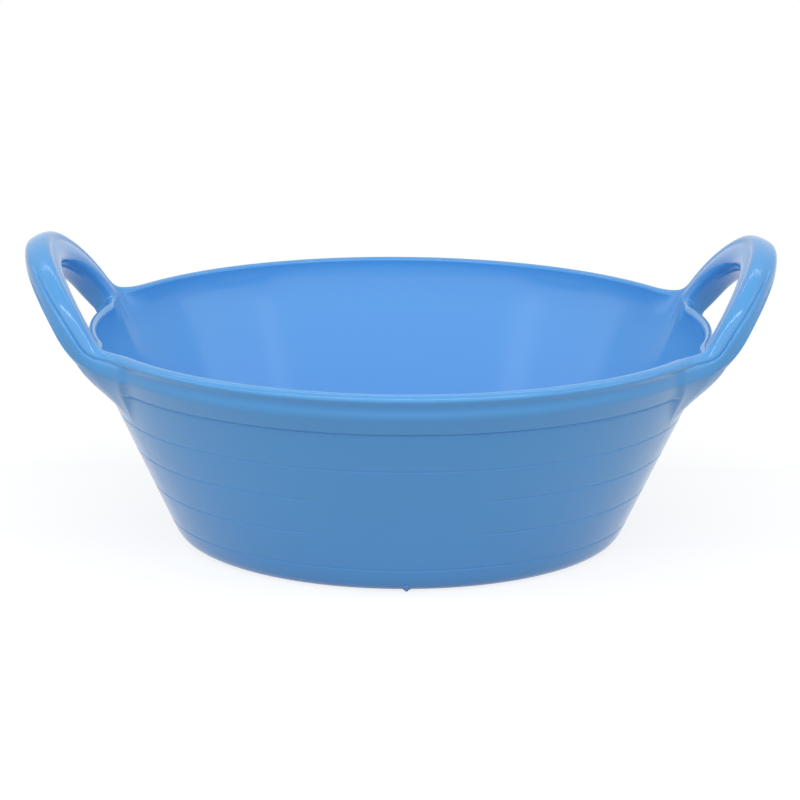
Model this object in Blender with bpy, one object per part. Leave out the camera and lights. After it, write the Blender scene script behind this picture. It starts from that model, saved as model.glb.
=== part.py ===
"""Shallow flexible feed tub with two loop handles, moulded in one piece.

Metres, +Z up. The underside of the foot stands on Z = 0 and the tub's axis is Z.
The handles rise from the rim at +X and -X. One quarter of the moulding is laid out as a
cage of quads and mirrored twice. The handles are then parted from the tub at the place
where the real moulding flexes, across each leg just above the rim.
"""

import math

import bmesh
import bpy
from mathutils import Matrix, Vector

# Tub
RIM_RADIUS = 0.2200
TUB_HEIGHT = 0.1492
FOOT_RADIUS = 0.1515
WALL = 0.0026
FLOOR = 0.0028
FOOT_ROUND = 0.0090
INNER_ROUND_RISE = 1.3
COLLAR_DEPTH = 0.0312
FLARE_DEPTH = 0.0600
FLARE_POWER = 2.6

# Thicker band under the rim
BAND_DEPTH = 0.0276
BAND_SETBACK = 0.0116
BAND_STEP = 0.0018
STEP_HEIGHT = 0.0007

# Moulded lines round the wall
LINE_HEIGHTS = (0.0169, 0.0425, 0.0682, 0.0928)
LINE_WIDTH = 0.0014
LINE_DEPTH = 0.0005
BLANK_LINES = (1, 2)
BLANK_HALF_ANGLE = math.radians(15.5)

# Handles
HANDLE_LEAN = math.radians(28.0)
HANDLE_SPAN = 0.1805
HANDLE_RISE = 0.0715
HANDLE_BOW = 0.0080
HANDLE_TWIST = math.radians(8.0)
LEG_WIDTH = 0.0190
GRIP_WIDTH = 0.0265
GRIP_BACK = 0.0108
ROOT_BACK = 0.0070
BACK_TAPER = 0.30
HOLE_TAPER = 0.60
STRAP_DROP = 0.0038
ROOT_INSET = 0.0177
ROOT_DROP = 0.0177
ARCH_POWER = 1.95
ARCH_SPREAD = 0.06
GRIP_START = 0.80
GRIP_FADE = 0.18
RIM_FILLET = 0.0160
RIM_FILLET_SPREAD = 1.4
LIP_FILLET = 0.0050

# Gussets under the legs, each narrowing to a tip on the wall
GUSSET_FOOT = 0.1000
GUSSET_ROUNDING = 0.30
GUSSET_TIP = math.radians(22.4)
GUSSET_TIP_HALF = math.radians(1.2)
GUSSET_SIDE = math.radians(0.6)
HOLE_FLANK = math.radians(1.0)
RIM_FLANK = math.radians(0.9)

# How far the cage's columns at the rim stand off the leg's own edges
HOLE_EDGE_SHIFT = math.radians(1.0)
LEG_EDGE_SHIFT = math.radians(2.0)

# Flexing zone
HINGE_ABOVE_RIM = 0.0110
HINGE_CLEARANCE = 0.0003
LEG_MARGIN = 0.0025
ROOT_MARGIN = 0.0015
PARTING_ABOVE_HINGE = 0.0040
ROOT_STEPS = 24

# Sections of the moulding's edge, as offsets along its outward edge direction and its
# inner normal. Each starts at the crease on the inner face and ends on the outer face.
RIM_SECTION = (
    (0.0000, 0.0000), (0.0023, -0.0014), (0.0032, -0.0044), (0.0014, -0.0075),
    (-0.0022, -0.0083), (-0.0054, -0.0060), (-0.0076, -0.0038), (-0.0104, -0.0054),
    (-0.0134, -0.0062), (-0.0140, -0.0058),
)
GUSSET_SECTION = (
    (0.0000, 0.0000), (0.0023, -0.0014), (0.0032, -0.0044), (0.0014, -0.0075),
    (-0.0022, -0.0086), (-0.0054, -0.0086), (-0.0080, -0.0084), (-0.0106, -0.0081),
    (-0.0130, -0.0078), (-0.0140, -0.0077),
)
LEG_SECTION = (
    (0.0000, 0.0000), (0.0019, 0.0001), (0.0036, -0.0024), (0.0040, -0.0060),
    (0.0030, -0.0087), (0.0019, -0.0102), (0.0025, -0.0118), (0.0029, -0.0146),
    (0.0008, -0.0182), (-0.0018, -0.0197),
)
GRIP_SECTION = (
    (0.0000, 0.0000), (0.0019, 0.0001), (0.0036, -0.0023), (0.0042, -0.0055),
    (0.0042, -0.0083), (0.0040, -0.0104), (0.0036, -0.0125), (0.0027, -0.0150),
    (0.0004, -0.0181), (-0.0018, -0.0196),
)
LIP_SECTION = (
    (0.0000, 0.0000), (0.0017, -0.0012), (0.0012, -0.0030), (-0.0014, -0.0034),
    (-0.0030, -0.0032),
)
HOLE_SECTION = (
    (0.0000, 0.0000), (0.0010, -0.0010), (0.0012, -0.0024), (0.0012, -0.0036),
    (0.0012, -0.0042),
)
HOLE_SIDE = ((0.0012, -0.0100), (0.0002, -0.0162), (-0.0035, -0.0206))
GROOVE_DEPTH = -0.0102

# Corners of the strap's own section, across it from its middle and in towards the tub
OUTER_CREASE = (0.0065, 0.0082)
HOLE_CREASE = (-0.0095, 0.0086)
INNER_CROWN = ((-0.0038, 0.0107), (0.0022, 0.0105))
BACK_CROWN = ((-0.0024, -0.0131), (0.0016, -0.0131))
DRAWN_WIDTH = 0.0205
DRAWN_BACK = 0.0118
LEG_OVERHANG = 0.0042

# Cage: columns in a quarter turn from +X, and stations from a leg's root to the grip's middle
COLUMNS = 20
HOLE_COLUMN = 4
LEG_COLUMN = 7
FLANK_COLUMN = 10
FILLET_COLUMN = 11
LIP_FILLET_COLUMN = 3
STATIONS = 12
FILLET_STATION = 2
HOLE_FILLET_STATION = 1
STATION_CROWDING = 1.25
LEVEL_STEP = 0.001
MERGE_DISTANCE = 0.00001

BLUE = (0.130, 0.420, 0.880, 1.0)
ROUGHNESS = 0.35

BAND_BOTTOM = TUB_HEIGHT - BAND_DEPTH
COLLAR_BOTTOM = TUB_HEIGHT - COLLAR_DEPTH
FLARE_BOTTOM = TUB_HEIGHT - FLARE_DEPTH
WALL_SLOPE = (RIM_RADIUS - BAND_SETBACK - FOOT_RADIUS) / BAND_BOTTOM
CREASE_HEIGHT = TUB_HEIGHT - RIM_SECTION[2][0]
CREASE_RADIUS = RIM_RADIUS + RIM_SECTION[4][1]
BAND_TOP = CREASE_HEIGHT + RIM_SECTION[-1][0]
BAND_TOP_RADIUS = CREASE_RADIUS - RIM_SECTION[-1][1]
LIP_DROP = 0.0008
LIP_INSET = 0.0020
LIP_RADIUS = CREASE_RADIUS - LIP_INSET
LIP_HEIGHT = CREASE_HEIGHT - LIP_DROP
ROOT_RADIUS = RIM_RADIUS - ROOT_INSET
ROOT_HEIGHT = TUB_HEIGHT - ROOT_DROP
HALF_SPAN = HANDLE_SPAN / 2.0
HOLE_BACK = HOLE_CREASE[0] - HOLE_SIDE[-1][0]
OUTER_BACK = OUTER_CREASE[0] + LEG_SECTION[-1][0]
QUARTER_TURN = math.pi / 2.0


def mix(a, b, share):
    return a + (b - a) * share


def smooth(share):
    share = min(max(share, 0.0), 1.0)
    return share * share * (3.0 - 2.0 * share)


def polar(radius, azimuth, height):
    return Vector((radius * math.cos(azimuth), radius * math.sin(azimuth), height))


def azimuth_of(point):
    return math.atan2(point.y, point.x)


def outer_cone(height):
    return FOOT_RADIUS + WALL_SLOPE * height


def inner_wall(height):
    """Inside of the wall: a cone that turns upright in the collar under the rim."""
    radius = outer_cone(height) - WALL
    if height > COLLAR_BOTTOM:
        depth = CREASE_HEIGHT - COLLAR_BOTTOM
        excess = outer_cone(CREASE_HEIGHT) - WALL - CREASE_RADIUS
        radius -= excess * ((height - COLLAR_BOTTOM) / depth) ** 2
    return radius


def plain_wall(height):
    """Outside of the wall where it has no band."""
    return inner_wall(height) + WALL


def band(height):
    """Outside of the thicker band, from its lower edge up to the ridge under the bead."""
    share = (height - BAND_BOTTOM) / (BAND_TOP - BAND_BOTTOM)
    return mix(outer_cone(BAND_BOTTOM) + BAND_STEP, BAND_TOP_RADIUS, share)


def arch(angle):
    """Middle line of the strap at an angle from the root: across the handle, and up its slope."""
    rise = abs(math.sin(angle)) ** (2.0 / ARCH_POWER)
    reach = math.copysign(abs(math.cos(angle)) ** (2.0 / ARCH_POWER), math.cos(angle))
    return HALF_SPAN * reach * (1.0 + ARCH_SPREAD * rise), HANDLE_RISE * rise


def arch_angle(height):
    """Angle along the arch at which the strap's middle is at a height above the ground."""
    rise = (height - ROOT_HEIGHT) / math.cos(HANDLE_LEAN) / HANDLE_RISE
    return math.asin(rise ** (ARCH_POWER / 2.0))


def handle_space(across, up, depth):
    """Point of the +X handle: across it, up its leaning plane, and in towards the tub."""
    share = across / HALF_SPAN
    twist = HANDLE_TWIST * share
    level = math.cos(HANDLE_LEAN)
    inward = Vector((-level * math.cos(twist), -level * math.sin(twist), math.sin(HANDLE_LEAN)))
    bow = HANDLE_BOW * (1.0 - share ** 2)
    middle = Vector((ROOT_RADIUS + bow + up * math.sin(HANDLE_LEAN), across, ROOT_HEIGHT + up * level))
    return middle + inward * depth


def strap_frame(angle):
    """Middle of the strap's section, its outward edge direction and its inner normal."""
    across, up = arch(angle)
    along = (Vector(arch(angle + LEVEL_STEP)) - Vector(arch(angle - LEVEL_STEP))).normalized()
    middle = handle_space(across, up, 0.0)
    beside = handle_space(across + along.y * LEVEL_STEP, up - along.x * LEVEL_STEP, 0.0)
    above = handle_space(across, up, LEVEL_STEP)
    return middle, (beside - middle).normalized(), (above - middle).normalized()


def strap_point(angle, offset):
    """Point of the strap's section, which widens from the legs to the grip."""
    middle, outward, inward = strap_frame(angle)
    up = arch(angle)[1]
    width = mix(LEG_WIDTH, GRIP_WIDTH, smooth(up / HANDLE_RISE) ** 2)
    wide = offset[0] * width / DRAWN_WIDTH
    deep = offset[1]
    if deep < 0.0:
        across = min(max((offset[0] - HOLE_BACK) / (OUTER_BACK - HOLE_BACK), 0.0), 1.0)
        deep *= mix(GRIP_BACK, back_depth(angle), mix(HOLE_TAPER, 1.0, across)) / DRAWN_BACK
    return middle + outward * wide + inward * deep


def back_depth(angle):
    """Depth of the strap's outer side behind its middle, which grows from the roots to the grip."""
    start = arch(station_angle(0))[1] / HANDLE_RISE
    share = min(max((arch(angle)[1] / HANDLE_RISE - start) / BACK_TAPER, 0.0), 1.0)
    return mix(GRIP_BACK, ROOT_BACK, (1.0 - share) ** 2)


def squeeze(deep, thinning):
    """Depth along a section whose back is thinner than drawn. The bead keeps its depth."""
    if deep > GROOVE_DEPTH:
        return deep
    drawn = DRAWN_BACK + OUTER_CREASE[1] + GROOVE_DEPTH
    return GROOVE_DEPTH + (deep - GROOVE_DEPTH) * (drawn - thinning) / drawn


def grip_share(angle):
    """Share of the grip's rounder section, in which the groove beside the bead fades."""
    return smooth((arch(angle)[1] / HANDLE_RISE - GRIP_START) / GRIP_FADE)


def station_angle(station):
    start = arch_angle(CREASE_HEIGHT - STRAP_DROP)
    return mix(start, QUARTER_TURN, (station / STATIONS) ** STATION_CROWDING)


HOLE_EDGE = azimuth_of(strap_point(station_angle(0), HOLE_CREASE)) - HOLE_EDGE_SHIFT
LEG_EDGE = azimuth_of(strap_point(station_angle(0), OUTER_CREASE)) + LEG_EDGE_SHIFT
FILLET_EDGE = LEG_EDGE + RIM_FILLET_SPREAD * RIM_FILLET / CREASE_RADIUS


def along_marks(marks, column):
    for (low, start), (high, end) in zip(marks, marks[1:]):
        if column <= high:
            return mix(start, end, (column - low) / (high - low))


def top_azimuth(column):
    """Azimuth of a column at the rim."""
    return along_marks(((0, 0.0), (HOLE_COLUMN, HOLE_EDGE), (LEG_COLUMN, LEG_EDGE),
                        (FLANK_COLUMN, FILLET_EDGE - RIM_FLANK), (FILLET_COLUMN, FILLET_EDGE),
                        (COLUMNS, QUARTER_TURN)), column)


def low_azimuth(column):
    """Azimuth of a column on the outside of the wall, below the gussets."""
    return along_marks(((0, 0.0), (HOLE_COLUMN, GUSSET_TIP - GUSSET_TIP_HALF),
                        (FLANK_COLUMN, GUSSET_TIP + GUSSET_TIP_HALF),
                        (FILLET_COLUMN, GUSSET_TIP + GUSSET_TIP_HALF + GUSSET_SIDE),
                        (COLUMNS, QUARTER_TURN)), column)


def bezier(points, t):
    a, b, c, d = points
    s = 1.0 - t
    return a * s ** 3 + b * (3.0 * t * s * s) + c * (3.0 * t * t * s) + d * t ** 3


def edge_loop(crease, radius, height, start_column, columns, turn):
    """One edge of the moulded sheet: along its ring, round the corner and up the leg.

    Each vertex has its crease point, tangent, inner normal and share of the leg's section."""
    loop = []
    for column in columns:
        azimuth = top_azimuth(column)
        tangent = polar(turn, azimuth + QUARTER_TURN, 0.0)
        loop.append((polar(radius, azimuth, height), tangent, polar(-1.0, azimuth, 0.0), 0.0, 0.0, 0.0))
    start, start_tangent, start_normal = loop[-1][:3]
    corner, reach, last = LEG_COLUMN, RIM_FILLET, FILLET_STATION
    if turn > 0:
        corner, reach, last = HOLE_COLUMN, LIP_FILLET, HOLE_FILLET_STATION
    angle = station_angle(last)
    end = strap_point(angle, crease)
    end_tangent = (strap_point(angle + LEVEL_STEP, crease) - end).normalized()
    points = (start, start + start_tangent * reach, end - end_tangent * reach, end)
    steps = abs(start_column - corner) + last
    for index in range(1, steps):
        t = index / steps
        tangent = bezier(points, t + LEVEL_STEP) - bezier(points, t - LEVEL_STEP)
        normal = start_normal.lerp(strap_frame(angle)[2], smooth(t)).normalized()
        thinning = (DRAWN_BACK - back_depth(angle)) * smooth(t)
        loop.append((bezier(points, t), tangent.normalized(), normal, smooth(t), thinning, 0.0))
    for station in range(last, STATIONS + 1):
        angle = station_angle(station)
        tangent = strap_point(angle + LEVEL_STEP, crease) - strap_point(angle - LEVEL_STEP, crease)
        if station == STATIONS:
            tangent = Vector((0.0, -1.0, 0.0))
        thinning = DRAWN_BACK - back_depth(angle)
        loop.append((strap_point(angle, crease), tangent.normalized(), strap_frame(angle)[2], 1.0,
                     thinning, grip_share(angle)))
    return loop


def sweep_section(bm, loop, sections, side):
    """Vertices of an edge strip: one row for each loop vertex, from inner to outer face.

    Sections are the plain ring's, the one where the corner starts, the leg's and the grip's.
    Loop vertices with a share of 0 take the first, all others a mix of the other three."""
    strip = []
    for point, tangent, normal, share, thinning, rounder in loop:
        edge = tangent.cross(normal).normalized() * side
        upright = (normal - tangent * normal.dot(tangent)).normalized()
        row = []
        for plain, corner, leg, grip in zip(*sections):
            start = plain if share == 0.0 else corner
            out = mix(start[0], mix(leg[0], grip[0], rounder), share)
            deep = squeeze(mix(start[1], mix(leg[1], grip[1], rounder), share), thinning)
            row.append(bm.verts.new(point + edge * out + upright * deep))
        strip.append(row)
    return strip


def quads(bm, rows):
    """Faces between each row of vertices and the next."""
    for lower, upper in zip(rows, rows[1:]):
        for a, b, c, d in zip(lower, lower[1:], upper[1:], upper):
            bm.faces.new((a, b, c, d))


def fan(bm, height, ring):
    """Flat floor from the axis out to a ring."""
    centre = bm.verts.new((0.0, 0.0, height))
    for a, b in zip(ring, ring[1:]):
        bm.faces.new((centre, a, b))


def turned_rows(bm, profile, azimuths):
    """Rings of vertices round a profile of (radius, height) points."""
    return [[bm.verts.new(polar(radius, azimuth, height)) for azimuth in azimuths]
            for radius, height in profile]


def rounded_corner(radius, floor, wall_height, wall_radius, count):
    """Points round the corner between a flat floor and the wall."""
    corner = (radius, floor)
    flat = (radius - FOOT_ROUND, floor)
    end = (wall_radius, wall_height)
    points = []
    for step in range(count):
        t = step / (count - 1)
        s = 1.0 - t
        points.append(tuple(a * s * s + 2.0 * b * s * t + c * t * t for a, b, c in zip(flat, corner, end)))
    return points


def inner_rows(bm, top):
    """Floor and wall inside the tub, up to the crease under the rim, the lip and the legs."""
    turn_top = FLOOR + INNER_ROUND_RISE * FOOT_ROUND
    profile = rounded_corner(inner_wall(FLOOR), FLOOR, turn_top, inner_wall(turn_top), 4)
    for share in (0.5, 1.0):
        height = mix(turn_top, FLARE_BOTTOM, share)
        profile.append((inner_wall(height), height))
    azimuths = [top_azimuth(column) for column in range(COLUMNS + 1)]
    rows = turned_rows(bm, profile, azimuths)
    for step in range(1, 6):
        share = step / 6.0
        height = mix(FLARE_BOTTOM, CREASE_HEIGHT, share)
        pull = share ** FLARE_POWER
        row = []
        for column, azimuth in enumerate(azimuths):
            ring_height = LIP_HEIGHT if column < HOLE_COLUMN else CREASE_HEIGHT
            shift = top[column].co - polar(inner_wall(ring_height), azimuth, ring_height)
            row.append(bm.verts.new(polar(inner_wall(height), azimuth, height) + shift * pull))
        rows.append(row)
    rows.append(top)
    fan(bm, FLOOR, rows[0])
    quads(bm, rows)


def blank(azimuth, line):
    """True where a line leaves the front and the back of the wall bare."""
    return line in BLANK_LINES and azimuth > QUARTER_TURN - BLANK_HALF_ANGLE


def line_rows(bm, azimuths):
    """Rings at the edges and in the middle of each moulded line."""
    rows = []
    for line, middle in enumerate(LINE_HEIGHTS):
        for side in (-1.0, 0.0, 1.0):
            height = middle + side * LINE_WIDTH / 2.0
            row = []
            for azimuth in azimuths:
                grooved = abs(side) < 0.5 and not blank(azimuth, line)
                depth = LINE_DEPTH if grooved else 0.0
                row.append(bm.verts.new(polar(outer_cone(height) - depth, azimuth, height)))
            rows.append(row)
    return rows


def upper_wall_row(bm, level, share_in_band, top, low):
    """A row outside the wall above the lines: plain behind the handle, a gusset under each leg, the band."""
    row = []
    banded = share_in_band is not None
    last_gusset = len(top) - 1 - (COLUMNS - FLANK_COLUMN)
    for index, vert in enumerate(top):
        peak = vert.co
        height = mix(BAND_BOTTOM, peak.z, share_in_band) if banded else level
        share = min(max((height - GUSSET_FOOT) / (peak.z - GUSSET_FOOT), 0.0), 1.0)
        azimuth = mix(low[index], azimuth_of(peak), share)
        if index <= last_gusset:
            proud = math.hypot(peak.x, peak.y) - plain_wall(peak.z)
            radius = plain_wall(height) + proud * mix(share, smooth(share), GUSSET_ROUNDING)
        else:
            radius = band(height) if banded else plain_wall(height)
        row.append(bm.verts.new(polar(radius, azimuth, height)))
    return row


def outer_rows(bm, top, low):
    """Foot, wall, band and gussets outside the tub, up to the ridge, the lip and the legs."""
    turn_top = FOOT_ROUND
    profile = rounded_corner(FOOT_RADIUS, 0.0, turn_top, outer_cone(turn_top), 4)
    rows = turned_rows(bm, profile, low)
    rows += line_rows(bm, low)
    under_step = BAND_BOTTOM - STEP_HEIGHT
    for share in (0.05, 0.35, 0.70, 1.0):
        rows.append(upper_wall_row(bm, mix(GUSSET_FOOT, under_step, share), None, top, low))
    for share in (0.0, 0.3, 0.7):
        rows.append(upper_wall_row(bm, None, share, top, low))
    rows.append(top)
    fan(bm, 0.0, rows[0])
    quads(bm, rows)


def strap_rows(bm, edges, crowns):
    """Rows across one face of the strap, from the hole's side to the outer edge."""
    rows = []
    for station, (hole_edge, outer_edge) in enumerate(edges):
        row = [hole_edge]
        row += [bm.verts.new(strap_point(station_angle(station), crown)) for crown in crowns]
        row.append(outer_edge)
        rows.append(row)
    return rows


def quarter_cage():
    """A quarter of the moulding: its two edge strips, then the inner and the outer faces between them."""
    bm = bmesh.new()
    outer_loop = edge_loop(OUTER_CREASE, CREASE_RADIUS, CREASE_HEIGHT, FILLET_COLUMN,
                           range(COLUMNS, FILLET_COLUMN - 1, -1), -1)
    hole_loop = edge_loop(HOLE_CREASE, LIP_RADIUS, LIP_HEIGHT, LIP_FILLET_COLUMN,
                          range(LIP_FILLET_COLUMN + 1), 1)
    outer_strip = sweep_section(bm, outer_loop, (RIM_SECTION, GUSSET_SECTION, LEG_SECTION, GRIP_SECTION), -1)
    hole_strip = sweep_section(bm, hole_loop, (LIP_SECTION, LIP_SECTION, HOLE_SECTION, HOLE_SECTION), 1)
    quads(bm, outer_strip)
    quads(bm, hole_strip)
    hole_legs = hole_strip[HOLE_COLUMN:]
    outer_legs = outer_strip[COLUMNS - LEG_COLUMN:]

    inner = strap_rows(bm, [(h[0], o[0]) for h, o in zip(hole_legs, outer_legs)], INNER_CROWN)
    quads(bm, inner)
    top = [row[0] for row in hole_strip[:HOLE_COLUMN]] + inner[0]
    top += [row[0] for row in reversed(outer_strip[:COLUMNS - LEG_COLUMN])]
    inner_rows(bm, top)

    side_offsets = [(HOLE_CREASE[0] - out, HOLE_CREASE[1] + deep) for out, deep in HOLE_SIDE]
    crowns = side_offsets + list(BACK_CROWN)
    outer = strap_rows(bm, [(h[-1], o[-1]) for h, o in zip(hole_legs, outer_legs)], crowns)
    quads(bm, outer)
    top = [row[-1] for row in hole_strip[:HOLE_COLUMN]] + outer[0]
    top += [row[-1] for row in reversed(outer_strip[:COLUMNS - LEG_COLUMN])]
    low = [low_azimuth(column) for column in range(HOLE_COLUMN)]
    low += [low_azimuth(HOLE_COLUMN) + HOLE_FLANK * (step / len(HOLE_SIDE) - 1.0)
            for step in range(len(HOLE_SIDE))]
    low += [low_azimuth(column) for column in range(HOLE_COLUMN, COLUMNS + 1)]
    outer_rows(bm, top, low)
    for vert in bm.verts:
        vert.co = [0.0 if abs(value) < MERGE_DISTANCE else value for value in vert.co]
    bmesh.ops.triangulate(bm, faces=bm.faces)
    bmesh.ops.recalc_face_normals(bm, faces=bm.faces)
    bm.normal_update()
    underside = min(bm.faces, key=lambda face: face.calc_center_median().z)
    if underside.normal.z > 0.0:
        bmesh.ops.reverse_faces(bm, faces=bm.faces)
    return to_mesh(bm, "moulding")


def to_mesh(bm, name):
    mesh = bpy.data.meshes.new(name)
    bm.to_mesh(mesh)
    bm.free()
    return mesh


def add_object(name, mesh):
    obj = bpy.data.objects.new(name, mesh)
    bpy.context.scene.collection.objects.link(obj)
    return obj


def whole_moulding():
    """The quarter mirrored across both middle planes."""
    quarter = add_object("moulding_quarter", quarter_cage())
    mirror = quarter.modifiers.new("quarters", "MIRROR")
    mirror.use_axis = (True, True, False)
    mirror.merge_threshold = MERGE_DISTANCE
    graph = bpy.context.evaluated_depsgraph_get()
    whole = bpy.data.meshes.new_from_object(quarter.evaluated_get(graph))
    bpy.data.objects.remove(quarter)
    return whole


def plastic():
    """Light blue low-density polyethylene with a soft gloss."""
    material = bpy.data.materials.new("blue_polyethylene")
    material.use_nodes = True
    shader = material.node_tree.nodes["Principled BSDF"]
    shader.inputs["Base Color"].default_value = BLUE
    shader.inputs["Roughness"].default_value = ROUGHNESS
    shader.inputs["Metallic"].default_value = 0.0
    return material


def prism(name, outline, start, end):
    """Hidden cutter: a closed prism along Y over an outline of (x, z) points."""
    bm = bmesh.new()
    face = bm.faces.new([bm.verts.new((x, start, z)) for x, z in outline])
    grown = bmesh.ops.extrude_face_region(bm, geom=[face])["geom"]
    moved = [item for item in grown if isinstance(item, bmesh.types.BMVert)]
    bmesh.ops.translate(bm, vec=(0.0, end - start, 0.0), verts=moved)
    bmesh.ops.recalc_face_normals(bm, faces=bm.faces)
    cutter = add_object(name, to_mesh(bm, name))
    cutter.hide_render = True
    cutter.display_type = "WIRE"
    return cutter


def combine(obj, operation, other):
    modifier = obj.modifiers.new(operation.lower(), "BOOLEAN")
    modifier.operation = operation
    modifier.object = other
    modifier.solver = "EXACT"


def leg_reach(low, high, growth):
    """Nearest and farthest that a leg comes across the handle between two heights, with a margin."""
    reach = []
    for height in (low, high):
        angle = arch_angle(height)
        for wide in (HOLE_CREASE[0] - LEG_OVERHANG, OUTER_CREASE[0] + LEG_OVERHANG):
            reach += [strap_point(angle, (wide, deep)).y for deep in (INNER_CROWN[0][1], -DRAWN_BACK)]
    return min(reach) - LEG_MARGIN - growth, max(reach) + LEG_MARGIN + growth


def flex_region(name, side, growth):
    """Space of one handle above its hinge, with a half-round root in each leg.

    Growth widens it all round, so that the same outline cuts the socket in the tub."""
    middle = strap_point(arch_angle(TUB_HEIGHT + HINGE_ABOVE_RIM), (0.0, 0.0))
    up = Vector((math.sin(HANDLE_LEAN), math.cos(HANDLE_LEAN)))
    out = Vector((math.cos(HANDLE_LEAN), -math.sin(HANDLE_LEAN)))
    radius = INNER_CROWN[0][1] + LEG_WIDTH / 2.0 * math.sin(HANDLE_TWIST) + ROOT_MARGIN + growth
    root = [-out * radius + up * radius, out * radius + up * radius]
    for step in range(ROOT_STEPS + 1):
        turn = math.pi * step / ROOT_STEPS
        root.append(out * (radius * math.cos(turn)) - up * (radius * math.sin(turn)))
    reach = HANDLE_RISE + 2.0 * GRIP_WIDTH
    parting = up * PARTING_ABOVE_HINGE
    top = [parting - out * reach, parting + out * reach, up * reach + out * reach, up * reach - out * reach]
    start, end = leg_reach(middle.z - radius, middle.z + 2.0 * PARTING_ABOVE_HINGE, growth)
    pieces = []
    for outline, low, high in ((top, -HANDLE_SPAN, HANDLE_SPAN), (root, start, end), (root, -end, -start)):
        points = [(side * (middle.x + point.x), middle.z + point.y) for point in outline]
        pieces.append(prism(name, points, low, high))
    combine(pieces[0], "UNION", pieces[1])
    combine(pieces[0], "UNION", pieces[2])
    return pieces[0]


def node(name, mesh, origin, material):
    """Copy of the moulding as its own object, with its origin at a point."""
    mesh = mesh.copy()
    mesh.transform(Matrix.Translation(-origin))
    mesh.materials.clear()
    mesh.materials.append(material)
    obj = add_object(name, mesh)
    obj.location = origin
    return obj


def main():
    for old in list(bpy.data.objects):
        bpy.data.objects.remove(old)
    moulding = whole_moulding()
    material = plastic()
    hinge = strap_point(arch_angle(TUB_HEIGHT + HINGE_ABOVE_RIM), (0.0, 0.0))
    shell = node("tub_shell", moulding, Vector((0.0, 0.0, 0.0)), material)
    for name, side in (("handle_right", 1.0), ("handle_left", -1.0)):
        handle = node(name, moulding, Vector((side * hinge.x, 0.0, hinge.z)), material)
        combine(handle, "INTERSECT", flex_region(name + "_space", side, 0.0))
        combine(shell, "DIFFERENCE", flex_region(name + "_socket", side, HINGE_CLEARANCE))


main()
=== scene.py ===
"""Looks of the feed tub: one soft moulding in light blue polyethylene, on a pale floor."""

import math

import bmesh
import bpy
from mathutils import Matrix, Vector


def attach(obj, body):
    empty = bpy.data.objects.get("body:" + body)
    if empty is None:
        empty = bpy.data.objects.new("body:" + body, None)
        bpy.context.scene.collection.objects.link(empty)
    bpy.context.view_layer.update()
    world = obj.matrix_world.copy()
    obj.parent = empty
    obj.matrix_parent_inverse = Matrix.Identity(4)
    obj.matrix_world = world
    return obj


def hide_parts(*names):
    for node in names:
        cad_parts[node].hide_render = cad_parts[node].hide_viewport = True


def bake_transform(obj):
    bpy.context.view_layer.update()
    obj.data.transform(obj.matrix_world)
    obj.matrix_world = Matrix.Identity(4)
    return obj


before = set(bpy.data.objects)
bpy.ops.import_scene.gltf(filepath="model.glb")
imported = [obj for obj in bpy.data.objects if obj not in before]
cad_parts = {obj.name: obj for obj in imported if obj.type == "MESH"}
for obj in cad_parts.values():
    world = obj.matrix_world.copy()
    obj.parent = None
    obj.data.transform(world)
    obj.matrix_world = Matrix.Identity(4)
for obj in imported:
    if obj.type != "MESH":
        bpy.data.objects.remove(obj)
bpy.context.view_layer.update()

# Tub
RIM_RADIUS = 0.2200
TUB_HEIGHT = 0.1492
FOOT_RADIUS = 0.1515
WALL = 0.0026
FLOOR = 0.0028
FOOT_ROUND = 0.0090
INNER_ROUND_RISE = 1.3
COLLAR_DEPTH = 0.0312
FLARE_DEPTH = 0.0600
FLARE_POWER = 2.6
TOP_RINGS = 12
CORNER_POINTS = 6
FLAT_RINGS = (0.06, 0.20, 0.45, 0.70, 0.90)
INNER_RINGS = (0.15, 0.45, 0.75, 1.0)

# Thicker band under the rim
BAND_DEPTH = 0.0276
BAND_SETBACK = 0.0116
BAND_STEP = 0.0018
STEP_HEIGHT = 0.0016
STEP_GROOVE = 0.0014
STEP_LEDGE = 0.0009
STEP_LEDGE_ROWS = (2.0, 1.0)
ABOVE_LINES = (0.04, 0.14, 0.28, 0.44, 0.60, 0.76, 0.88)
BAND_ROWS = (0.0, 0.04, 0.16, 0.36, 0.58, 0.80, 0.94)

# Small nub at the front of the foot
NUB_AZIMUTH = math.radians(-88.6)
NUB_RADIUS = 0.1475
NUB_SIZE = (0.0066, 0.0060, 0.0062)
NUB_LEAN = 0.0036
NUB_TAPER = 0.7
NUB_ROUND = 0.0012
NUB_ROUND_STEPS = 3

# Moulded lines round the wall, each with a profile of distances from its middle, in half
# widths, and shares of its depth
LINE_HEIGHTS = (0.0169, 0.0425, 0.0682, 0.0928)
LINE_WIDTH = 0.0014
LINE_DEPTH = 0.0005
LINE_PROFILE = ((-2.2, 0.0), (-1.0, 0.0), (-0.35, 1.0), (0.35, 1.0), (1.0, 0.0), (2.2, 0.0))
BLANK_LINES = (1, 2)
BLANK_HALF_ANGLE = math.radians(15.5)

# Handles
HANDLE_LEAN = math.radians(28.0)
HANDLE_SPAN = 0.1805
HANDLE_RISE = 0.0715
HANDLE_BOW = 0.0080
HANDLE_TWIST = math.radians(8.0)
GRIP_BACK = 0.0108
ROOT_BACK = 0.0070
BACK_TAPER = 0.30
HOLE_TAPER = 0.60
STRAP_DROP = 0.0038
LEG_WIDTH = 0.0190
GRIP_WIDTH = 0.0265
ROOT_INSET = 0.0177
ROOT_DROP = 0.0177
ARCH_POWER = 1.95
ARCH_SPREAD = 0.06
GRIP_START = 0.80
GRIP_FADE = 0.18
RIM_FILLET = 0.0180
RIM_FILLET_SPREAD = 1.4
LIP_FILLET = 0.0050

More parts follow.
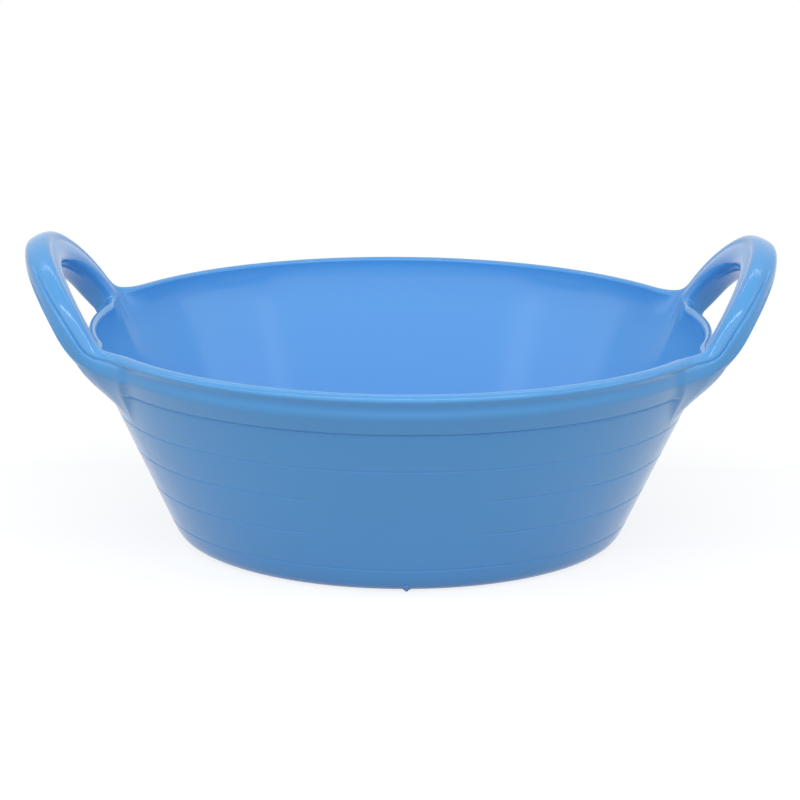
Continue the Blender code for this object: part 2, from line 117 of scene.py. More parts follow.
# Gussets under the legs, each narrowing to a tip on the wall
GUSSET_FOOT = 0.0945
GUSSET_ROUNDING = 0.50
GUSSET_CURVE = 1.5
GUSSET_TIP = math.radians(22.4)
GUSSET_TIP_HALF = math.radians(1.2)
GUSSET_SIDE = math.radians(0.6)
HOLE_FLANK = math.radians(1.0)
RIM_FLANK = math.radians(0.9)

# How far the cage's columns at the rim stand off the leg's own edges
HOLE_EDGE_SHIFT = math.radians(1.0)
LEG_EDGE_SHIFT = math.radians(2.0)

# Sections of the moulding's edge, as offsets along its outward edge direction and its
# inner normal. Each starts at the crease on the inner face and ends on the outer face, apart
# from the bead's, which the rim's and the gusset's share.
BEAD_SECTION = (
    (0.0000, 0.0000), (0.0013, 0.0003), (0.0025, -0.0006), (0.0031, -0.0020),
    (0.0032, -0.0036), (0.0026, -0.0056), (0.0015, -0.0073), (0.0001, -0.0083),
)
RIM_SECTION = BEAD_SECTION + (
    (-0.0013, -0.0083), (-0.0022, -0.0078), (-0.0030, -0.0070), (-0.0042, -0.0063),
    (-0.0057, -0.0058), (-0.0074, -0.0056), (-0.0090, -0.0057), (-0.0107, -0.0057),
    (-0.0125, -0.0053), (-0.0140, -0.0048),
)
GUSSET_SECTION = BEAD_SECTION + (
    (-0.0013, -0.0084), (-0.0022, -0.0081), (-0.0030, -0.0075), (-0.0038, -0.0078),
    (-0.0050, -0.0083), (-0.0065, -0.0085), (-0.0082, -0.0084), (-0.0100, -0.0082),
    (-0.0120, -0.0080), (-0.0140, -0.0077),
)
LEG_SECTION = (
    (0.0000, 0.0000), (0.0018, 0.0005), (0.0040, 0.0001), (0.0058, -0.0009),
    (0.0071, -0.0024), (0.0079, -0.0042), (0.0083, -0.0061), (0.0083, -0.0078),
    (0.0079, -0.0092), (0.0071, -0.0100), (0.0060, -0.0105), (0.0065, -0.0111),
    (0.0068, -0.0119), (0.0062, -0.0134), (0.0050, -0.0152), (0.0035, -0.0169),
    (0.0018, -0.0184), (0.0006, -0.0194),
)
GRIP_SECTION = (
    (0.0000, 0.0000), (0.0022, 0.0006), (0.0044, 0.0004), (0.0062, -0.0006),
    (0.0074, -0.0020), (0.0081, -0.0037), (0.0085, -0.0055), (0.0087, -0.0070),
    (0.0087, -0.0083), (0.0086, -0.0094), (0.0085, -0.0104), (0.0083, -0.0114),
    (0.0081, -0.0125), (0.0077, -0.0137), (0.0071, -0.0150), (0.0061, -0.0165),
    (0.0047, -0.0181), (0.0026, -0.0196),
)
LIP_SECTION = (
    (0.0000, 0.0000), (0.0014, -0.0003), (0.0027, -0.0011), (0.0036, -0.0024),
    (0.0039, -0.0040), (0.0032, -0.0054), (0.0016, -0.0058), (-0.0004, -0.0050),
)
HOLE_SECTION = (
    (0.0000, 0.0000), (0.0009, -0.0004), (0.0016, -0.0010), (0.0021, -0.0018),
    (0.0024, -0.0027), (0.0026, -0.0036), (0.0028, -0.0045), (0.0029, -0.0054),
)
HOLE_SIDE = (
    (0.0030, -0.0076), (0.0029, -0.0104), (0.0026, -0.0133), (0.0019, -0.0164),
    (0.0005, -0.0192), (-0.0018, -0.0208),
)

# Corners of the strap's own section, across it from its middle and in towards the tub
OUTER_CREASE = (0.0030, 0.0085)
HOLE_CREASE = (-0.0078, 0.0088)
INNER_CROWN = (
    (-0.0064, 0.0097), (-0.0046, 0.0102), (-0.0026, 0.0102), (-0.0006, 0.0099),
    (0.0014, 0.0092),
)

# Groove beside the bead: as drawn in the sections, and where it lies at the root and the grip
GROOVE_DEPTH = -0.0105
GROOVE_AT_ROOT = -0.0080
GROOVE_AT_GRIP = -0.0135

# Outer side of the strap behind its middle, and the sizes that the sections are drawn at
BACK_CROWN = (
    (-0.0040, -0.0127), (-0.0021, -0.0129), (-0.0004, -0.0130), (0.0013, -0.0129),
    (0.0032, -0.0126),
)
DRAWN_WIDTH = 0.0205
DRAWN_BACK = 0.0118

# Cage: columns in a quarter turn from +X, and stations from a leg's root to the grip's middle
COLUMNS = 40
HOLE_COLUMN = 8
LEG_COLUMN = 14
FLANK_COLUMN = 21
FILLET_COLUMN = 22
LIP_FILLET_COLUMN = 6
STATIONS = 24
FILLET_STATION = 4
HOLE_FILLET_STATION = 2
CUT_STATION = 5
STATION_CROWDING = 1.25
LEVEL_STEP = 0.001
MERGE_DISTANCE = 0.00001
SMOOTHING = 2
TUB_FACES = 0
LOOP_FACES = 1

# Length in stations of a stretch of each leg, starting at the cut
BEND_STATIONS = 8

# Studio
WORLD_LIGHT = 0.25
FLOOR_RADIUS = 0.95
FLOOR_BOUNCE = 0.56
FLOOR_WHITENESS = 0.75
FLOOR_GLOW = 1.10
FLOOR_SEGMENTS = 96
FLOOR_DROP = 0.0002
WHITE = (1.0, 1.0, 1.0, 1.0)

# Lamps: place, width and height, and power, all turned to one target
LAMP_TARGET = (0.0, 0.0, 0.1)
LAMPS = {
    "top_front": ((0.0, -1.1, 2.5), (3.6, 0.12), 26.0),
    "top_back": ((0.0, 1.2, 2.5), (3.6, 0.12), 8.0),
    "front": ((0.0, -2.5, 1.8), (8.0, 2.6), 61.0),
    "left": ((-2.2, -0.4, 1.1), (2.0, 1.4), 9.0),
    "right": ((2.2, -0.4, 1.1), (1.6, 1.2), 6.5),
}

# Plastic: two close blues, mixed by a soft noise
DEEP_BLUE = (0.092, 0.370, 0.785, 1.0)
LIGHT_BLUE = (0.098, 0.386, 0.825, 1.0)
CLOUD_SCALE = 9.0
CLOUD_DETAIL = 3.0
ROUGHNESS = 0.16
SPECULAR = 0.40

# Camera: distance and height, pitch, turn about the tub and tilt, and focal length in pixels
CAMERA_PLACE = (0.0, -2.540, 0.719)
CAMERA_PITCH = math.radians(90.0 - 13.85)
CAMERA_SPIN = math.radians(0.6)
CAMERA_ROLL = math.radians(0.45)
FOCAL_PIXELS = 3792.0
FRAME_PIXELS = 800.0
SENSOR_WIDTH = 36.0

BAND_BOTTOM = TUB_HEIGHT - BAND_DEPTH
COLLAR_BOTTOM = TUB_HEIGHT - COLLAR_DEPTH
FLARE_BOTTOM = TUB_HEIGHT - FLARE_DEPTH
WALL_SLOPE = (RIM_RADIUS - BAND_SETBACK - FOOT_RADIUS) / BAND_BOTTOM
CREASE_HEIGHT = TUB_HEIGHT - max(out for out, deep in BEAD_SECTION)
CREASE_RADIUS = RIM_RADIUS + min(deep for out, deep in BEAD_SECTION)
BAND_TOP = CREASE_HEIGHT + RIM_SECTION[-1][0]
BAND_TOP_RADIUS = CREASE_RADIUS - RIM_SECTION[-1][1]
LIP_DROP = 0.0030
LIP_INSET = 0.0038
LIP_RADIUS = CREASE_RADIUS - LIP_INSET
LIP_HEIGHT = CREASE_HEIGHT - LIP_DROP
ROOT_RADIUS = RIM_RADIUS - ROOT_INSET
ROOT_HEIGHT = TUB_HEIGHT - ROOT_DROP
HALF_SPAN = HANDLE_SPAN / 2.0
HOLE_BACK = HOLE_CREASE[0] - HOLE_SIDE[-1][0]
OUTER_BACK = OUTER_CREASE[0] + LEG_SECTION[-1][0]
QUARTER_TURN = math.pi / 2.0


def mix(a, b, share):
    return a + (b - a) * share


def smooth(share):
    share = min(max(share, 0.0), 1.0)
    return share * share * (3.0 - 2.0 * share)


def polar(radius, azimuth, height):
    return Vector((radius * math.cos(azimuth), radius * math.sin(azimuth), height))


def azimuth_of(point):
    return math.atan2(point.y, point.x)


def outer_cone(height):
    return FOOT_RADIUS + WALL_SLOPE * height


def inner_wall(height):
    """Inside of the wall: a cone that turns upright in the collar under the rim."""
    radius = outer_cone(height) - WALL
    if height > COLLAR_BOTTOM:
        depth = CREASE_HEIGHT - COLLAR_BOTTOM
        excess = outer_cone(CREASE_HEIGHT) - WALL - CREASE_RADIUS
        radius -= excess * ((height - COLLAR_BOTTOM) / depth) ** 2
    return radius


def plain_wall(height):
    """Outside of the wall where it has no band."""
    return inner_wall(height) + WALL


def band(height):
    """Outside of the thicker band, from its lower edge up to the ridge under the bead."""
    share = (height - BAND_BOTTOM) / (BAND_TOP - BAND_BOTTOM)
    return mix(outer_cone(BAND_BOTTOM) + BAND_STEP, BAND_TOP_RADIUS, share)


def arch(angle):
    """Middle line of the strap at an angle from the root: across the handle, and up its slope."""
    rise = abs(math.sin(angle)) ** (2.0 / ARCH_POWER)
    reach = math.copysign(abs(math.cos(angle)) ** (2.0 / ARCH_POWER), math.cos(angle))
    return HALF_SPAN * reach * (1.0 + ARCH_SPREAD * rise), HANDLE_RISE * rise


def arch_angle(height):
    """Angle along the arch at which the strap's middle is at a height above the ground."""
    rise = (height - ROOT_HEIGHT) / math.cos(HANDLE_LEAN) / HANDLE_RISE
    return math.asin(rise ** (ARCH_POWER / 2.0))


def handle_space(across, up, depth):
    """Point of the +X handle: across it, up its leaning plane, and in towards the tub."""
    share = across / HALF_SPAN
    twist = HANDLE_TWIST * share
    level = math.cos(HANDLE_LEAN)
    inward = Vector((-level * math.cos(twist), -level * math.sin(twist), math.sin(HANDLE_LEAN)))
    bow = HANDLE_BOW * (1.0 - share ** 2)
    middle = Vector((ROOT_RADIUS + bow + up * math.sin(HANDLE_LEAN), across, ROOT_HEIGHT + up * level))
    return middle + inward * depth


def strap_frame(angle):
    """Middle of the strap's section, its outward edge direction and its inner normal."""
    across, up = arch(angle)
    along = (Vector(arch(angle + LEVEL_STEP)) - Vector(arch(angle - LEVEL_STEP))).normalized()
    middle = handle_space(across, up, 0.0)
    beside = handle_space(across + along.y * LEVEL_STEP, up - along.x * LEVEL_STEP, 0.0)
    above = handle_space(across, up, LEVEL_STEP)
    return middle, (beside - middle).normalized(), (above - middle).normalized()


def strap_point(angle, offset):
    """Point of the strap's section, which widens from the legs to the grip."""
    middle, outward, inward = strap_frame(angle)
    up = arch(angle)[1]
    width = mix(LEG_WIDTH, GRIP_WIDTH, smooth(up / HANDLE_RISE) ** 2)
    wide = offset[0] * width / DRAWN_WIDTH
    deep = offset[1]
    if deep < 0.0:
        across = min(max((offset[0] - HOLE_BACK) / (OUTER_BACK - HOLE_BACK), 0.0), 1.0)
        deep *= mix(GRIP_BACK, back_depth(angle), mix(HOLE_TAPER, 1.0, across)) / DRAWN_BACK
    return middle + outward * wide + inward * deep


def back_depth(angle):
    """Depth of the strap's outer side behind its middle, which grows from the roots to the grip."""
    start = arch(station_angle(0))[1] / HANDLE_RISE
    share = min(max((arch(angle)[1] / HANDLE_RISE - start) / BACK_TAPER, 0.0), 1.0)
    return mix(GRIP_BACK, ROOT_BACK, (1.0 - share) ** 2)


def groove_depth(angle):
    """Depth of the groove beside the bead, which is nearest to the inner face at the roots."""
    return mix(GROOVE_AT_ROOT, GROOVE_AT_GRIP, arch(angle)[1] / HANDLE_RISE)


def squeeze(deep, thinning, groove):
    """Depth along a section whose groove is shifted and whose back is thinner than drawn."""
    if deep > GROOVE_DEPTH:
        return deep * groove / GROOVE_DEPTH
    drawn = DRAWN_BACK + OUTER_CREASE[1] + GROOVE_DEPTH
    end = GROOVE_DEPTH - drawn + thinning
    return groove + (deep - GROOVE_DEPTH) * (groove - end) / drawn


def grip_share(angle):
    """Share of the grip's rounder section, in which the groove beside the bead fades."""
    return smooth((arch(angle)[1] / HANDLE_RISE - GRIP_START) / GRIP_FADE)


def station_angle(station):
    """Angle along the arch of a station, with the stations closer together at the root."""
    start = arch_angle(CREASE_HEIGHT - STRAP_DROP)
    return mix(start, QUARTER_TURN, (station / STATIONS) ** STATION_CROWDING)


HOLE_EDGE = azimuth_of(strap_point(station_angle(0), HOLE_CREASE)) - HOLE_EDGE_SHIFT
LEG_EDGE = azimuth_of(strap_point(station_angle(0), OUTER_CREASE)) + LEG_EDGE_SHIFT
FILLET_EDGE = LEG_EDGE + RIM_FILLET_SPREAD * RIM_FILLET / CREASE_RADIUS


def along_marks(marks, column):
    """Azimuth of a column, mixed from those of the marked columns on either side."""
    for (low, start), (high, end) in zip(marks, marks[1:]):
        if column <= high:
            return mix(start, end, (column - low) / (high - low))


def top_azimuth(column):
    """Azimuth of a column at the rim."""
    return along_marks(((0, 0.0), (HOLE_COLUMN, HOLE_EDGE), (LEG_COLUMN, LEG_EDGE),
                        (FLANK_COLUMN, FILLET_EDGE - RIM_FLANK), (FILLET_COLUMN, FILLET_EDGE),
                        (COLUMNS, QUARTER_TURN)), column)


def low_azimuth(column):
    """Azimuth of a column on the outside of the wall, below the gussets."""
    return along_marks(((0, 0.0), (HOLE_COLUMN, GUSSET_TIP - GUSSET_TIP_HALF),
                        (FLANK_COLUMN, GUSSET_TIP + GUSSET_TIP_HALF),
                        (FILLET_COLUMN, GUSSET_TIP + GUSSET_TIP_HALF + GUSSET_SIDE),
                        (COLUMNS, QUARTER_TURN)), column)


def bezier(points, t):
    """Point of a cubic curve with four control points."""
    a, b, c, d = points
    s = 1.0 - t
    return a * s ** 3 + b * (3.0 * t * s * s) + c * (3.0 * t * t * s) + d * t ** 3


def edge_loop(crease, radius, height, start_column, columns, turn):
    """One edge of the moulded sheet: along its ring, round the corner and up the leg.

    Each vertex has its crease point, tangent, inner normal, share of the leg's section, how much
    thinner its back is than drawn, its groove's depth and its share of the grip's section."""
    loop = []
    for column in columns:
        azimuth = top_azimuth(column)
        tangent = polar(turn, azimuth + QUARTER_TURN, 0.0)
        loop.append((polar(radius, azimuth, height), tangent, polar(-1.0, azimuth, 0.0), 0.0, 0.0,
                     GROOVE_DEPTH, 0.0))
    start, start_tangent, start_normal = loop[-1][:3]
    corner, reach, last = LEG_COLUMN, RIM_FILLET, FILLET_STATION
    if turn > 0:
        corner, reach, last = HOLE_COLUMN, LIP_FILLET, HOLE_FILLET_STATION
    angle = station_angle(last)
    end = strap_point(angle, crease)
    end_tangent = (strap_point(angle + LEVEL_STEP, crease) - end).normalized()
    points = (start, start + start_tangent * reach, end - end_tangent * reach, end)
    steps = abs(start_column - corner) + last
    for index in range(1, steps):
        t = index / steps
        tangent = bezier(points, t + LEVEL_STEP) - bezier(points, t - LEVEL_STEP)
        normal = start_normal.lerp(strap_frame(angle)[2], smooth(t)).normalized()
        thinning = (DRAWN_BACK - back_depth(angle)) * smooth(t)
        groove = mix(GROOVE_DEPTH, groove_depth(angle), smooth(t))
        loop.append((bezier(points, t), tangent.normalized(), normal, smooth(t), thinning, groove, 0.0))
    for station in range(last, STATIONS + 1):
        angle = station_angle(station)
        tangent = strap_point(angle + LEVEL_STEP, crease) - strap_point(angle - LEVEL_STEP, crease)
        if station == STATIONS:
            tangent = Vector((0.0, -1.0, 0.0))
        thinning = DRAWN_BACK - back_depth(angle)
        loop.append((strap_point(angle, crease), tangent.normalized(), strap_frame(angle)[2], 1.0,
                     thinning, groove_depth(angle), grip_share(angle)))
    return loop


def sweep_section(bm, loop, sections, side):
    """Vertices of an edge strip: one row for each loop vertex, from inner to outer face.

    Sections are the plain ring's, the one where the corner starts, the leg's and the grip's.
    Loop vertices with a share of 0 take the first, all others a mix of the other three."""
    strip = []
    for point, tangent, normal, share, thinning, groove, rounder in loop:
        edge = tangent.cross(normal).normalized() * side
        upright = (normal - tangent * normal.dot(tangent)).normalized()
        row = []
        for plain, corner, leg, grip in zip(*sections):
            start = plain if share == 0.0 else corner
            out = mix(start[0], mix(leg[0], grip[0], rounder), share)
            deep = squeeze(mix(start[1], mix(leg[1], grip[1], rounder), share), thinning, groove)
            row.append(bm.verts.new(point + edge * out + upright * deep))
        strip.append(row)
    return strip


def quads(bm, rows, piece=TUB_FACES):
    """Faces between each row of vertices and the next."""
    for lower, upper in zip(rows, rows[1:]):
        for a, b, c, d in zip(lower, lower[1:], upper[1:], upper):
            bm.faces.new((a, b, c, d)).material_index = piece


def fan(bm, height, ring):
    """Flat floor from the axis out to a ring."""
    centre = bm.verts.new((0.0, 0.0, height))
    for a, b in zip(ring, ring[1:]):
        bm.faces.new((centre, a, b))


def turned_rows(bm, profile, azimuths):
    """Rings of vertices round a profile of (radius, height) points."""
    return [[bm.verts.new(polar(radius, azimuth, height)) for azimuth in azimuths]
            for radius, height in profile]


def rounded_corner(radius, floor, wall_height, wall_radius, count):
    """Points round the corner between a flat floor and the wall."""
    corner = (radius, floor)
    flat = (radius - FOOT_ROUND, floor)
    end = (wall_radius, wall_height)
    points = []
    for step in range(count):
        t = step / (count - 1)
        s = 1.0 - t
        points.append(tuple(a * s * s + 2.0 * b * s * t + c * t * t
                            for a, b, c in zip(flat, corner, end)))
    return points


def flat_rings(edge_radius, height):
    """Rings on a flat floor, from near the axis to the rounded corner."""
    return [(edge_radius * share, height) for share in FLAT_RINGS]


def inner_rows(bm, top):
    """Floor and wall inside the tub, up to the crease under the rim, the lip and the legs."""
    turn_top = FLOOR + INNER_ROUND_RISE * FOOT_ROUND
    profile = rounded_corner(inner_wall(FLOOR), FLOOR, turn_top, inner_wall(turn_top), CORNER_POINTS)
    profile = flat_rings(profile[0][0], FLOOR) + profile
    for share in INNER_RINGS:
        height = mix(turn_top, FLARE_BOTTOM, share)
        profile.append((inner_wall(height), height))
    azimuths = [top_azimuth(column) for column in range(COLUMNS + 1)]
    rows = turned_rows(bm, profile, azimuths)
    for step in range(1, TOP_RINGS):
        share = step / TOP_RINGS
        height = mix(FLARE_BOTTOM, CREASE_HEIGHT, share)
        pull = share ** FLARE_POWER
        row = []
        for column, azimuth in enumerate(azimuths):
            ring_height = LIP_HEIGHT if column < HOLE_COLUMN else CREASE_HEIGHT
            shift = top[column].co - polar(inner_wall(ring_height), azimuth, ring_height)
            row.append(bm.verts.new(polar(inner_wall(height), azimuth, height) + shift * pull))
        rows.append(row)
    rows.append(top)
    fan(bm, FLOOR, rows[0])
    quads(bm, rows)


def blank(azimuth, line):
    """True where a line leaves the front and the back of the wall bare."""
    return line in BLANK_LINES and azimuth > QUARTER_TURN - BLANK_HALF_ANGLE


def line_rows(bm, azimuths):
    """Rings at the edges and in the middle of each moulded line."""
    rows = []
    for line, middle in enumerate(LINE_HEIGHTS):
        for side, sunk in LINE_PROFILE:
            height = middle + side * LINE_WIDTH / 2.0
            row = []
            for azimuth in azimuths:
                depth = 0.0 if blank(azimuth, line) else LINE_DEPTH * sunk
                row.append(bm.verts.new(polar(outer_cone(height) - depth, azimuth, height)))
            rows.append(row)
    return rows


def upper_wall_row(bm, level, share_in_band, top, low, inset=0.0):
    """A row outside the wall above the lines: a gusset under each leg, and the band beyond it.

    A row on the band is at a share of the band's height, and any other row is at a level."""
    row = []
    banded = share_in_band is not None
    last_gusset = len(top) - 1 - (COLUMNS - FLANK_COLUMN)
    for index, vert in enumerate(top):
        peak = vert.co
        height = mix(BAND_BOTTOM, peak.z, share_in_band) if banded else level
        share = min(max((height - GUSSET_FOOT) / (peak.z - GUSSET_FOOT), 0.0), 1.0)
        azimuth = mix(low[index], azimuth_of(peak), share)
        if index <= last_gusset:
            proud = math.hypot(peak.x, peak.y) - plain_wall(peak.z)
            radius = plain_wall(height) + proud * mix(share ** GUSSET_CURVE, smooth(share), GUSSET_ROUNDING)
        else:
            radius = band(height) if banded else plain_wall(height) - inset
        row.append(bm.verts.new(polar(radius, azimuth, height)))
    return row


def outer_rows(bm, top, low):
    """Foot, wall, band and gussets outside the tub, up to the ridge, the lip and the legs."""
    turn_top = FOOT_ROUND
    profile = rounded_corner(FOOT_RADIUS, 0.0, turn_top, outer_cone(turn_top), CORNER_POINTS)
    profile = flat_rings(profile[0][0], 0.0) + profile
    rows = turned_rows(bm, profile, low)
    rows += line_rows(bm, low)
    under_step = BAND_BOTTOM - STEP_HEIGHT
    for share in ABOVE_LINES:
        rows.append(upper_wall_row(bm, mix(GUSSET_FOOT, under_step, share), None, top, low))
    for ledges in STEP_LEDGE_ROWS:
        rows.append(upper_wall_row(bm, under_step - ledges * STEP_LEDGE, None, top, low))
    rows.append(upper_wall_row(bm, under_step, None, top, low, STEP_GROOVE))
    for share in BAND_ROWS:
        rows.append(upper_wall_row(bm, None, share, top, low))
    rows.append(top)
    fan(bm, 0.0, rows[0])
    quads(bm, rows)


def strap_rows(bm, edges, crowns):
    """Rows across one face of the strap, from the hole's side to the outer edge."""
    rows = []
    for station, (hole_edge, outer_edge) in enumerate(edges):
        row = [hole_edge]
        row += [bm.verts.new(strap_point(station_angle(station), crown)) for crown in crowns]
        row.append(outer_edge)
        rows.append(row)
    return rows


def split_quads(bm, rows, cut):
    """Faces between rows: those below the cut belong to the tub, and those above it to a handle."""
    quads(bm, rows[:cut + 1], TUB_FACES)
    quads(bm, rows[cut:], LOOP_FACES)


def quarter_cage():
    """A quarter of the moulding: its two edge strips, then the inner and the outer faces between them."""
    bm = bmesh.new()
    outer_loop = edge_loop(OUTER_CREASE, CREASE_RADIUS, CREASE_HEIGHT, FILLET_COLUMN,
                           range(COLUMNS, FILLET_COLUMN - 1, -1), -1)
    hole_loop = edge_loop(HOLE_CREASE, LIP_RADIUS, LIP_HEIGHT, LIP_FILLET_COLUMN,
                          range(LIP_FILLET_COLUMN + 1), 1)
    outer_sections = (RIM_SECTION, GUSSET_SECTION, LEG_SECTION, GRIP_SECTION)
    hole_sections = (LIP_SECTION, LIP_SECTION, HOLE_SECTION, HOLE_SECTION)
    outer_strip = sweep_section(bm, outer_loop, outer_sections, -1)
    hole_strip = sweep_section(bm, hole_loop, hole_sections, 1)
    outer_cut = COLUMNS - LEG_COLUMN + CUT_STATION
    split_quads(bm, outer_strip, outer_cut)
    split_quads(bm, hole_strip, HOLE_COLUMN + CUT_STATION)
    hole_legs = hole_strip[HOLE_COLUMN:]
    outer_legs = outer_strip[COLUMNS - LEG_COLUMN:]

    inner = strap_rows(bm, [(h[0], o[0]) for h, o in zip(hole_legs, outer_legs)], INNER_CROWN)
    split_quads(bm, inner, CUT_STATION)
    top = [row[0] for row in hole_strip[:HOLE_COLUMN]] + inner[0]
    top += [row[0] for row in reversed(outer_strip[:COLUMNS - LEG_COLUMN])]
    inner_rows(bm, top)

    side_offsets = [(HOLE_CREASE[0] - out, HOLE_CREASE[1] + deep) for out, deep in HOLE_SIDE]
    crowns = side_offsets + list(BACK_CROWN)
    outer = strap_rows(bm, [(h[-1], o[-1]) for h, o in zip(hole_legs, outer_legs)], crowns)
    split_quads(bm, outer, CUT_STATION)
    top = [row[-1] for row in hole_strip[:HOLE_COLUMN]] + outer[0]
    top += [row[-1] for row in reversed(outer_strip[:COLUMNS - LEG_COLUMN])]
    low = [low_azimuth(column) for column in range(HOLE_COLUMN)]
    low += [low_azimuth(HOLE_COLUMN) + HOLE_FLANK * (step / len(HOLE_SIDE) - 1.0)
            for step in range(len(HOLE_SIDE))]
    low += [low_azimuth(column) for column in range(HOLE_COLUMN, COLUMNS + 1)]
    outer_rows(bm, top, low)
    for vert in bm.verts:
        vert.co = [0.0 if abs(value) < MERGE_DISTANCE else value for value in vert.co]
    bmesh.ops.recalc_face_normals(bm, faces=bm.faces)
    bm.normal_update()
    underside = min(bm.faces, key=lambda face: face.calc_center_median().z)
    if underside.normal.z > 0.0:
        bmesh.ops.reverse_faces(bm, faces=bm.faces)
    return bm


def add_object(name, data):
    """New object in the scene for a mesh, a lamp or a camera."""
    obj = bpy.data.objects.new(name, data)
    bpy.context.scene.collection.objects.link(obj)
    return obj


def whole_moulding():
    """The quarter mirrored across both middle planes and smoothed."""
    mesh = bpy.data.meshes.new("moulding")
    bm = quarter_cage()
    bm.to_mesh(mesh)
    bm.free()
    quarter = add_object("moulding_quarter", mesh)
    for name in ("tub", "handle"):
        mesh.materials.append(bpy.data.materials.new(name))
    mirror = quarter.modifiers.new("quarters", "MIRROR")
    mirror.use_axis = (True, True, False)
    mirror.merge_threshold = MERGE_DISTANCE
    smoothing = quarter.modifiers.new("smoothing", "SUBSURF")
    smoothing.levels = SMOOTHING
    smoothing.render_levels = SMOOTHING
    graph = bpy.context.evaluated_depsgraph_get()
    whole = bpy.data.meshes.new_from_object(quarter.evaluated_get(graph))
    bpy.data.objects.remove(quarter)
    return whole


def part_of(whole, name, material, keep):
    """The faces of the moulding that keep() picks, as a closed piece with the whole moulding's normals."""
    bm = bmesh.new()
    bm.from_mesh(whole)
    gone = [face for face in bm.faces if not keep(face)]
    bmesh.ops.delete(bm, geom=gone, context="FACES")
    loose = [vert for vert in bm.verts if not vert.link_faces]
    bmesh.ops.delete(bm, geom=loose, context="VERTS")
    edges = [edge for edge in bm.edges if edge.is_boundary]
    bmesh.ops.holes_fill(bm, edges=edges, sides=0)
    normals_layer = bm.verts.layers.float_vector["whole_normal"]
    normals = [tuple(vert[normals_layer]) for vert in bm.verts]
    for face in bm.faces:
        face.smooth = True
        face.material_index = 0
    mesh = bpy.data.meshes.new(name)
    bm.to_mesh(mesh)
    bm.free()
    mesh.normals_split_custom_set_from_vertices(normals)
    mesh.attributes.remove(mesh.attributes["whole_normal"])
    mesh.materials.append(material)
    return add_object(name, mesh)


def plastic():
    """Light blue polyethylene with a soft gloss."""
    material = bpy.data.materials.new("blue_polyethylene")
    material.use_nodes = True
    tree = material.node_tree
    shader = tree.nodes["Principled BSDF"]
    place = tree.nodes.new("ShaderNodeTexCoord")
    noise = tree.nodes.new("ShaderNodeTexNoise")
    noise.inputs["Scale"].default_value = CLOUD_SCALE
    noise.inputs["Detail"].default_value = CLOUD_DETAIL
    ramp = tree.nodes.new("ShaderNodeValToRGB")
    ramp.color_ramp.elements[0].color = DEEP_BLUE
    ramp.color_ramp.elements[1].color = LIGHT_BLUE
    tree.links.new(place.outputs["Object"], noise.inputs["Vector"])
    tree.links.new(noise.outputs["Fac"], ramp.inputs["Fac"])
    tree.links.new(ramp.outputs["Color"], shader.inputs["Base Color"])
    shader.inputs["Roughness"].default_value = ROUGHNESS
    shader.inputs["Specular IOR Level"].default_value = SPECULAR
    return material


def on_loop(face, side):
    """True for a face of the handle on one side of the tub."""
    return face.material_index == LOOP_FACES and face.calc_center_median().x * side > 0.0


def build_moulding():
    """The tub and its two handles, cut from one smoothed moulding so that they meet unseen, and the nub."""
    whole = whole_moulding()
    layer = whole.attributes.new("whole_normal", "FLOAT_VECTOR", "POINT")
    normals = [value for normal in whole.vertex_normals for value in normal.vector]
    layer.data.foreach_set("vector", normals)
    material = plastic()
    tub = part_of(whole, "tub_moulding", material, lambda face: face.material_index == TUB_FACES)
    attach(tub, "tub")
    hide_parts("tub_shell")
    start = strap_point(station_angle(CUT_STATION), (0.0, 0.0))
    end = strap_point(station_angle(CUT_STATION + BEND_STATIONS), (0.0, 0.0))
    for handle, side in (("handle_right", 1.0), ("handle_left", -1.0)):
        loop = part_of(whole, handle + "_loop", material, lambda face: on_loop(face, side))
        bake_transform(loop)
        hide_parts(handle)
    foot_nub(material)


def foot_nub(material):
    """Rounded nub at the foot's edge, leaning out with the wall."""
    mesh = bpy.data.meshes.new("foot_nub")
    bm = bmesh.new()
    bmesh.ops.create_cube(bm, size=1.0)
    for vert in bm.verts:
        vert.co = [value * size for value, size in zip(vert.co, NUB_SIZE)]
        vert.co.z += NUB_SIZE[2] / 2.0
        vert.co.x += NUB_LEAN * vert.co.z / NUB_SIZE[2]
        vert.co.y *= mix(NUB_TAPER, 1.0, vert.co.z / NUB_SIZE[2])
    bmesh.ops.bevel(bm, geom=bm.edges[:], offset=NUB_ROUND, segments=NUB_ROUND_STEPS, affect="EDGES")
    turn = Matrix.Rotation(NUB_AZIMUTH, 4, "Z") @ Matrix.Translation((NUB_RADIUS, 0.0, 0.0))
    bmesh.ops.transform(bm, matrix=turn, verts=bm.verts[:])
    for face in bm.faces:
        face.smooth = True
    bm.to_mesh(mesh)
    bm.free()
    mesh.materials.append(material)
    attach(add_object("foot_nub", mesh), "tub")


def soft_light(name, place, size, power):
    """Rectangular lamp turned to the tub."""
    data = bpy.data.lights.new(name, "AREA")
    data.shape = "RECTANGLE"
    data.size, data.size_y = size
    data.energy = power
    obj = add_object(name, data)
    obj.location = place
    direction = Vector(LAMP_TARGET) - Vector(place)
    obj.rotation_euler = direction.to_track_quat("-Z", "Y").to_euler()


def seen_ray(tree):
    """1 for rays that show a surface to the camera: straight, mirrored or through glass."""
    path = tree.nodes.new("ShaderNodeLightPath")
    total = path.outputs["Is Camera Ray"]
    for name in ("Is Glossy Ray", "Is Transmission Ray"):
        add = tree.nodes.new("ShaderNodeMath")
        add.operation = "MAXIMUM"
        tree.links.new(total, add.inputs[0])
        tree.links.new(path.outputs[name], add.inputs[1])
        total = add.outputs["Value"]
    return total


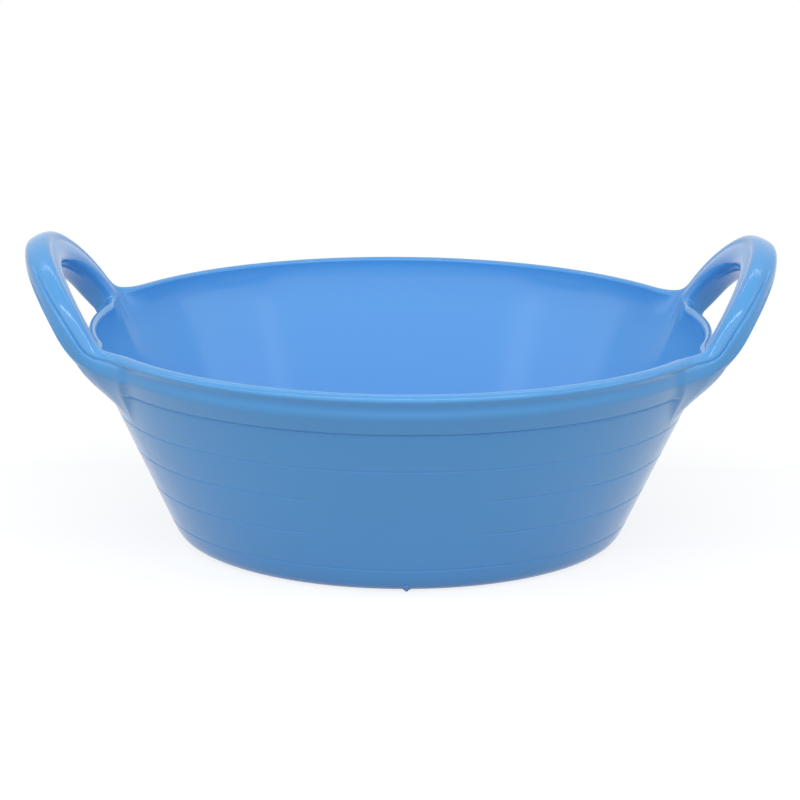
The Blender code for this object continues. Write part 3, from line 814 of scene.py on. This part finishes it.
def studio():
    """White room: what the camera sees of it is white, and its light is softer."""
    world = bpy.data.worlds.new("studio")
    bpy.context.scene.world = world
    world.use_nodes = True
    tree = world.node_tree
    tree.nodes.clear()
    out = tree.nodes.new("ShaderNodeOutputWorld")
    shades = []
    for strength in (WORLD_LIGHT, 1.0):
        shade = tree.nodes.new("ShaderNodeBackground")
        shade.inputs["Color"].default_value = WHITE
        shade.inputs["Strength"].default_value = strength
        shades.append(shade)
    mixed = tree.nodes.new("ShaderNodeMixShader")
    tree.links.new(seen_ray(tree), mixed.inputs["Fac"])
    tree.links.new(shades[0].outputs["Background"], mixed.inputs[1])
    tree.links.new(shades[1].outputs["Background"], mixed.inputs[2])
    tree.links.new(mixed.outputs["Shader"], out.inputs["Surface"])


def matt(tree, level):
    """Matt grey of one level."""
    shader = tree.nodes.new("ShaderNodeBsdfDiffuse")
    shader.inputs["Color"].default_value = (level, level, level, 1.0)
    return shader.outputs["BSDF"]


def floor():
    """Pale floor, seen near white with a soft shadow, which throws back less light than it shows."""
    mesh = bpy.data.meshes.new("floor")
    bm = bmesh.new()
    bmesh.ops.create_circle(bm, cap_ends=True, segments=FLOOR_SEGMENTS, radius=FLOOR_RADIUS)
    bm.to_mesh(mesh)
    bm.free()
    obj = add_object("floor", mesh)
    obj.location = (0.0, 0.0, -FLOOR_DROP)
    material = bpy.data.materials.new("pale_floor")
    material.use_nodes = True
    tree = material.node_tree
    tree.nodes.clear()
    out = tree.nodes.new("ShaderNodeOutputMaterial")
    white = tree.nodes.new("ShaderNodeEmission")
    white.inputs["Color"].default_value = WHITE
    white.inputs["Strength"].default_value = FLOOR_GLOW
    shown = tree.nodes.new("ShaderNodeMixShader")
    shown.inputs["Fac"].default_value = FLOOR_WHITENESS
    tree.links.new(matt(tree, 1.0), shown.inputs[1])
    tree.links.new(white.outputs["Emission"], shown.inputs[2])
    mixed = tree.nodes.new("ShaderNodeMixShader")
    tree.links.new(seen_ray(tree), mixed.inputs["Fac"])
    tree.links.new(matt(tree, FLOOR_BOUNCE), mixed.inputs[1])
    tree.links.new(shown.outputs["Shader"], mixed.inputs[2])
    tree.links.new(mixed.outputs["Shader"], out.inputs["Surface"])
    mesh.materials.append(material)


def camera():
    """Camera at the photograph's viewing angle."""
    data = bpy.data.cameras.new("camera")
    data.sensor_width = SENSOR_WIDTH
    data.lens = SENSOR_WIDTH * FOCAL_PIXELS / FRAME_PIXELS
    obj = add_object("camera", data)
    spin = Matrix.Rotation(-CAMERA_SPIN, 3, "Z")
    obj.location = spin @ Vector(CAMERA_PLACE)
    turn = spin @ Matrix.Rotation(CAMERA_PITCH, 3, "X") @ Matrix.Rotation(CAMERA_ROLL, 3, "Z")
    obj.rotation_euler = turn.to_euler()
    bpy.context.scene.camera = obj


build_moulding()
studio()
floor()
camera()
for name, (place, size, power) in LAMPS.items():
    soft_light(name, place, size, power)
bpy.context.scene.view_settings.view_transform = "Standard"
